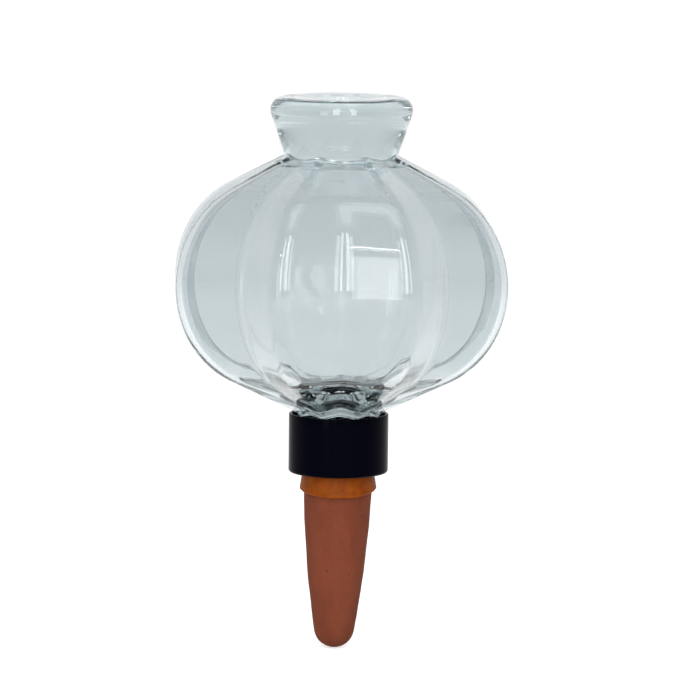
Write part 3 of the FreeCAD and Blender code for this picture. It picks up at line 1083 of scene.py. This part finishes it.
@dataclass(frozen=True)
class Studio:
    """A white floor that runs far back, soft lamps and the camera at the photograph's angle.

    The world dims from where a ray's upward part is ceiling_start to where it is ceiling_full.
    Tones, glows and the light on surfaces are strengths of white light.
    """

    floor_height: float = -53.5
    floor_gap: float = 0.2
    floor_size_m: float = 30.0
    floor_colour: str = "F4F4F4"
    floor_roughness: float = 0.9
    floor_glow: float = 0.63
    surface_light: float = 0.45
    ceiling_tone: float = 0.55
    ceiling_start: float = 0.25
    ceiling_full: float = 0.75
    aim: Place = (3.2, 0.0, 36.9)
    roll: float = 0.6
    distance_m: float = 1.5
    elevation: float = 7.0
    view_width_m: float = 0.21
    sensor_mm: float = 36.0
    clip_start_m: float = 0.01
    bounces: int = 32
    mirror_bounces: int = 24
    lamp_centre: Place = (0.0, 0.0, 57.7)
    lamps: tuple[SoftLamp, ...] = (
        SoftLamp("front_window", azimuth=-28.0, elevation=7.0, wide_m=0.2, tall_m=0.66, radiance=2.75),
        SoftLamp("window_head", azimuth=-28.0, elevation=35.0, wide_m=0.12, tall_m=0.015, radiance=25.0),
        SoftLamp("left_soft", azimuth=-8.0, elevation=26.0, wide_m=0.17, tall_m=0.9, radiance=6.0),
        SoftLamp("right_soft", azimuth=20.0, elevation=26.0, wide_m=0.14, tall_m=0.9, radiance=6.0),
        SoftLamp("top_soft", azimuth=0.0, elevation=80.0, wide_m=0.5, tall_m=0.5, radiance=1.5),
    )

    def seen_by_eye(self, tree: bpy.types.NodeTree) -> bpy.types.NodeSocket:
        """One for rays from the camera and for those that mirror or pass through a surface."""
        path = add_node(tree, "ShaderNodeLightPath")
        seen = path.outputs["Is Camera Ray"]
        for ray in ("Is Glossy Ray", "Is Transmission Ray"):
            either = add_node(
                tree, "ShaderNodeMath", {"operation": "MAXIMUM"}, links={0: seen, 1: path.outputs[ray]})
            seen = either.outputs[0]
        return seen

    def make_world(self) -> None:
        """White to the eye with a dimmer ceiling, and a softer plain light on surfaces."""
        world = bpy.data.worlds.new("studio_air")
        bpy.context.scene.world = world
        world.use_nodes = True
        tree = world.node_tree
        tree.nodes.clear()
        direction = add_node(tree, "ShaderNodeTexCoord")
        parts = add_node(tree, "ShaderNodeSeparateXYZ", links={"Vector": direction.outputs["Generated"]})
        ceiling = add_node(
            tree, "ShaderNodeMapRange", {"interpolation_type": "SMOOTHSTEP"},
            values={
                "From Min": self.ceiling_start, "From Max": self.ceiling_full,
                "To Min": 1.0, "To Max": self.ceiling_tone,
            },
            links={"Value": parts.outputs["Z"]})
        strength = add_node(
            tree, "ShaderNodeMapRange", values={"To Min": self.surface_light},
            links={"Value": self.seen_by_eye(tree), "To Max": ceiling.outputs["Result"]})
        air = add_node(
            tree, "ShaderNodeBackground", values={"Color": (1, 1, 1, 1)},
            links={"Strength": strength.outputs["Result"]})
        add_node(tree, "ShaderNodeOutputWorld", links={"Surface": air.outputs[0]})

    def make_floor(self) -> None:
        """A pale floor under the tip; a little of its own light keeps it white to the eye."""
        height = (self.floor_height - self.floor_gap) * MM
        mesh = bmesh.new()
        bmesh.ops.create_grid(mesh, x_segments=2, y_segments=2, size=self.floor_size_m / 2)
        bmesh.ops.translate(mesh, verts=mesh.verts, vec=(0, 0, height))
        floor = finish_mesh("studio_floor", mesh)
        material, tree, shader = new_material("white_paper", {
            "Base Color": linear(self.floor_colour),
            "Roughness": self.floor_roughness,
            "Specular IOR Level": 0.0,
            "Emission Color": (1, 1, 1, 1),
        })
        add_node(
            tree, "ShaderNodeMath", {"operation": "MULTIPLY"}, values={1: self.floor_glow},
            links={0: self.seen_by_eye(tree)}, feeds={0: shader.inputs["Emission Strength"]})
        floor.data.materials.append(material)

    def allow_deep_paths(self) -> None:
        """Lets light pass the glass walls often enough that their edges don't end in black."""
        paths = bpy.context.scene.cycles
        paths.max_bounces = self.bounces
        paths.glossy_bounces = self.mirror_bounces
        paths.transmission_bounces = self.bounces

    def make_camera(self) -> None:
        """The camera at the photograph's angle and distance."""
        camera_data = bpy.data.cameras.new("camera")
        camera = bpy.data.objects.new("camera", camera_data)
        bpy.context.scene.collection.objects.link(camera)
        rise = math.radians(self.elevation)
        aim = Vector(self.aim) * MM
        back = Vector((0, -math.cos(rise), math.sin(rise)))
        camera.location = aim + back * self.distance_m
        level = (-back).to_track_quat("-Z", "Y")
        camera.rotation_euler = (level @ Quaternion((0, 0, 1), math.radians(self.roll))).to_euler()
        camera_data.sensor_width = self.sensor_mm
        camera_data.lens = self.sensor_mm * self.distance_m / self.view_width_m
        camera_data.clip_start = self.clip_start_m
        bpy.context.scene.camera = camera

    def make(self) -> None:
        """Makes the whole studio."""
        self.make_world()
        self.make_floor()
        for lamp in self.lamps:
            lamp.make(Vector(self.lamp_centre) * MM)
        self.make_camera()
        self.allow_deep_paths()
        bpy.context.scene.view_settings.view_transform = "Standard"


def main() -> None:
    """Builds the pieces in order and reports each one."""
    logging.basicConfig(level=logging.INFO, format="%(name)s: %(message)s")
    thread = ScrewThread()
    ClaySpike().make(FiredClay().make())
    SiliconeSleeve().make(OrangeSilicone().make())
    ScrewCap(thread).make(MouldedBlackPlastic().make())
    GlassBulb(thread).make(PressedGlass().make())
    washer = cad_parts["sealing_washer"]
    washer.data.materials.clear()
    washer.data.materials.append(WasherRubber().make())
    LOG.info("sealing_washer keeps its packed shape")
    Studio().make()


if __name__ == "__main__":
    main()
